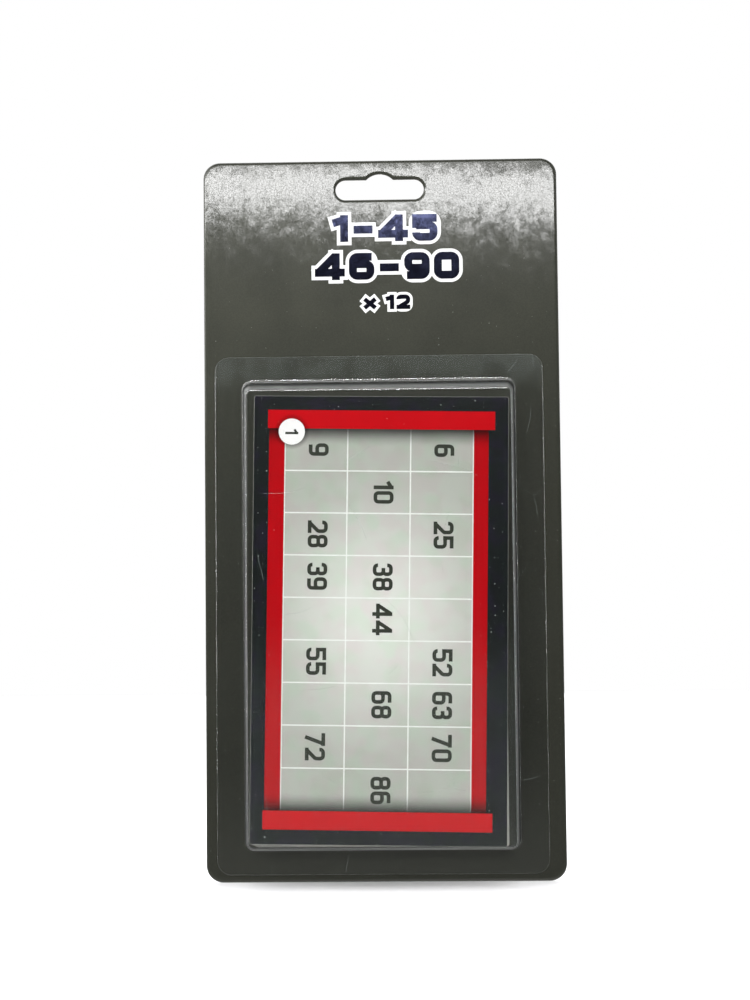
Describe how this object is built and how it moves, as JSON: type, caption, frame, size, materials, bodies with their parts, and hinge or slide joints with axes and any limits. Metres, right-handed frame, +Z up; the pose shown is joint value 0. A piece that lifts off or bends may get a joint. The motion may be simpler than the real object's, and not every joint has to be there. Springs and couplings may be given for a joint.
{
  "type": "blister pack of bingo cards",
  "caption": "Hanging retail pack: a stack of loose printed bingo cards in a clear formed blister sealed to a dark metallic backing card with a hang slot.",
  "frame": {"origin": "crown of the hang slot's hump, in the plane of the backing card's back face, where a display peg bears", "axes": "+Z up along the hanging pack, +Y out of the back towards the display wall, the blister faces -Y, +X to the right seen from the front"},
  "size_m": [0.128, 0.0147, 0.259],
  "materials": {
    "backing_board": "satin",
    "clear_film": "gloss",
    "printed_board": "satin"
  },
  "bodies": {
    "pack": {"backing_card": "backing_board", "blister": "clear_film"},
    "card_01": {"bingo_card_01": "printed_board"},
    "card_02": {"bingo_card_02": "printed_board"},
    "card_03": {"bingo_card_03": "printed_board"},
    "card_04": {"bingo_card_04": "printed_board"},
    "card_05": {"bingo_card_05": "printed_board"},
    "card_06": {"bingo_card_06": "printed_board"},
    "card_07": {"bingo_card_07": "printed_board"},
    "card_08": {"bingo_card_08": "printed_board"},
    "card_09": {"bingo_card_09": "printed_board"},
    "card_10": {"bingo_card_10": "printed_board"},
    "card_11": {"bingo_card_11": "printed_board"},
    "card_12": {"bingo_card_12": "printed_board"}
  },
  "joints": [
    {"name": "card_01_lift", "type": "slide", "parent": "pack", "child": "card_01", "axis": [0, 0, 1], "range_m": [0, 0.002]},
    {"name": "card_02_lift", "type": "slide", "parent": "pack", "child": "card_02", "axis": [0, 0, 1], "range_m": [0, 0.0026]},
    {"name": "card_03_lift", "type": "slide", "parent": "pack", "child": "card_03", "axis": [0, 0, 1], "range_m": [0, 0.0032]},
    {"name": "card_04_lift", "type": "slide", "parent": "pack", "child": "card_04", "axis": [0, 0, 1], "range_m": [0, 0.0038]},
    {"name": "card_05_lift", "type": "slide", "parent": "pack", "child": "card_05", "axis": [0, 0, 1], "range_m": [0, 0.0044]},
    {"name": "card_06_lift", "type": "slide", "parent": "pack", "child": "card_06", "axis": [0, 0, 1], "range_m": [0, 0.005]},
    {"name": "card_07_lift", "type": "slide", "parent": "pack", "child": "card_07", "axis": [0, 0, 1], "range_m": [0, 0.0056]},
    {"name": "card_08_lift", "type": "slide", "parent": "pack", "child": "card_08", "axis": [0, 0, 1], "range_m": [0, 0.0062]},
    {"name": "card_09_lift", "type": "slide", "parent": "pack", "child": "card_09", "axis": [0, 0, 1], "range_m": [0, 0.0068]},
    {"name": "card_10_lift", "type": "slide", "parent": "pack", "child": "card_10", "axis": [0, 0, 1], "range_m": [0, 0.0074]},
    {"name": "card_11_lift", "type": "slide", "parent": "pack", "child": "card_11", "axis": [0, 0, 1], "range_m": [0, 0.008]},
    {"name": "card_12_lift", "type": "slide", "parent": "pack", "child": "card_12", "axis": [0, 0, 1], "range_m": [0, 0.0086]}
  ]
}
